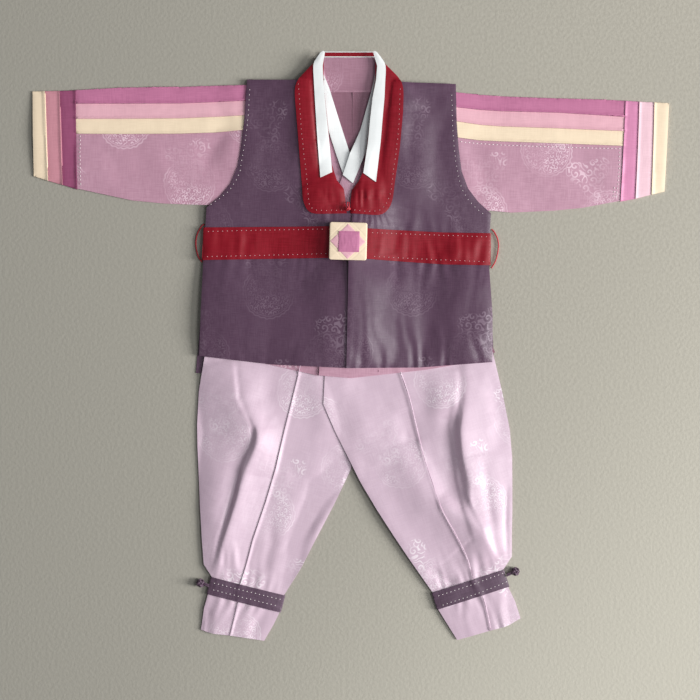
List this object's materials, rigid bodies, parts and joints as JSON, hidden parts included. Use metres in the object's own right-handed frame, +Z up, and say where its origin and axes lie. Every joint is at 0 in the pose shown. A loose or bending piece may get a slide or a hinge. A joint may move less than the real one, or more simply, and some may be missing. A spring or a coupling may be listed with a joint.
{
  "type": "child's first-birthday hanbok laid flat",
  "caption": "Child's festive hanbok laid flat: silk vest with a red collar and belt over a striped-sleeve jacket, and pleated trousers tied at the ankles.",
  "frame": {"origin": "middle of the whole set's box, on the surface that it lies on", "axes": "+X to the right as seen from above, +Y towards the neck, +Z up out of the garment's front"},
  "size_m": [0.74, 0.6852, 0.0218],
  "materials": {
    "vest_silk": "dark purple silk with a tone-on-tone jacquard of medallions and clouds",
    "red_satin": "deep red satin with a white pick stitch along its edges",
    "white_cotton": "starched plain white cotton",
    "mauve_silk": "mauve pink silk with a tone-on-tone jacquard",
    "magenta_silk": "magenta silk",
    "pink_silk": "pale pink silk",
    "cream_silk": "cream silk",
    "dusty_silk": "dusty rose silk",
    "plum_silk": "plum silk",
    "lilac_satin": "pale lilac silk satin with a tone-on-tone jacquard",
    "purple_silk": "very dark purple silk with white stitches",
    "red_thread": "twisted red silk thread"
  },
  "bodies": {
    "root": {"ankle_band_left": "purple_silk", "ankle_band_right": "purple_silk", "ankle_knot_left": "purple_silk", "ankle_knot_right": "purple_silk", "belt": "red_satin", "belt_buckle": "cream_silk", "belt_loop_left": "red_thread", "belt_loop_right": "red_thread", "buckle_centre": "magenta_silk", "buckle_diamond": "pink_silk", "collar_knot": "red_thread", "cuff_left_cream": "cream_silk", "cuff_left_dusty": "dusty_silk", "cuff_left_plum": "plum_silk", "cuff_right_cream": "cream_silk", "cuff_right_magenta": "magenta_silk", "cuff_right_pink": "pink_silk", "jacket_back": "mauve_silk", "jacket_collar_back": "mauve_silk", "jacket_collar_left": "mauve_silk", "jacket_collar_right": "mauve_silk", "jacket_dongjeong_back": "white_cotton", "jacket_dongjeong_left": "white_cotton", "jacket_dongjeong_right": "white_cotton", "jacket_front_left": "mauve_silk", "jacket_front_right": "mauve_silk", "sleeve_left_cream_back": "cream_silk", "sleeve_left_cream_front": "cream_silk", "sleeve_left_magenta_stripe": "magenta_silk", "sleeve_left_panel_back": "mauve_silk", "sleeve_left_panel_front": "mauve_silk", "sleeve_left_pink_back": "pink_silk", "sleeve_left_pink_front": "pink_silk", "sleeve_right_cream_back": "cream_silk", "sleeve_right_cream_front": "cream_silk", "sleeve_right_magenta_stripe": "magenta_silk", "sleeve_right_panel_back": "mauve_silk", "sleeve_right_panel_front": "mauve_silk", "sleeve_right_pink_back": "pink_silk", "sleeve_right_pink_front": "pink_silk", "trousers_left_back": "lilac_satin", "trousers_left_inner": "lilac_satin", "trousers_left_outer": "lilac_satin", "trousers_right_back": "lilac_satin", "trousers_right_inner": "lilac_satin", "trousers_right_outer": "lilac_satin", "trousers_waistband": "lilac_satin", "vest_back": "vest_silk", "vest_collar_back": "red_satin", "vest_collar_left": "red_satin", "vest_collar_right": "red_satin", "vest_dongjeong_back": "white_cotton", "vest_dongjeong_left": "white_cotton", "vest_dongjeong_right": "white_cotton", "vest_front_left": "vest_silk", "vest_front_right": "vest_silk"}
  },
  "joints": []
}
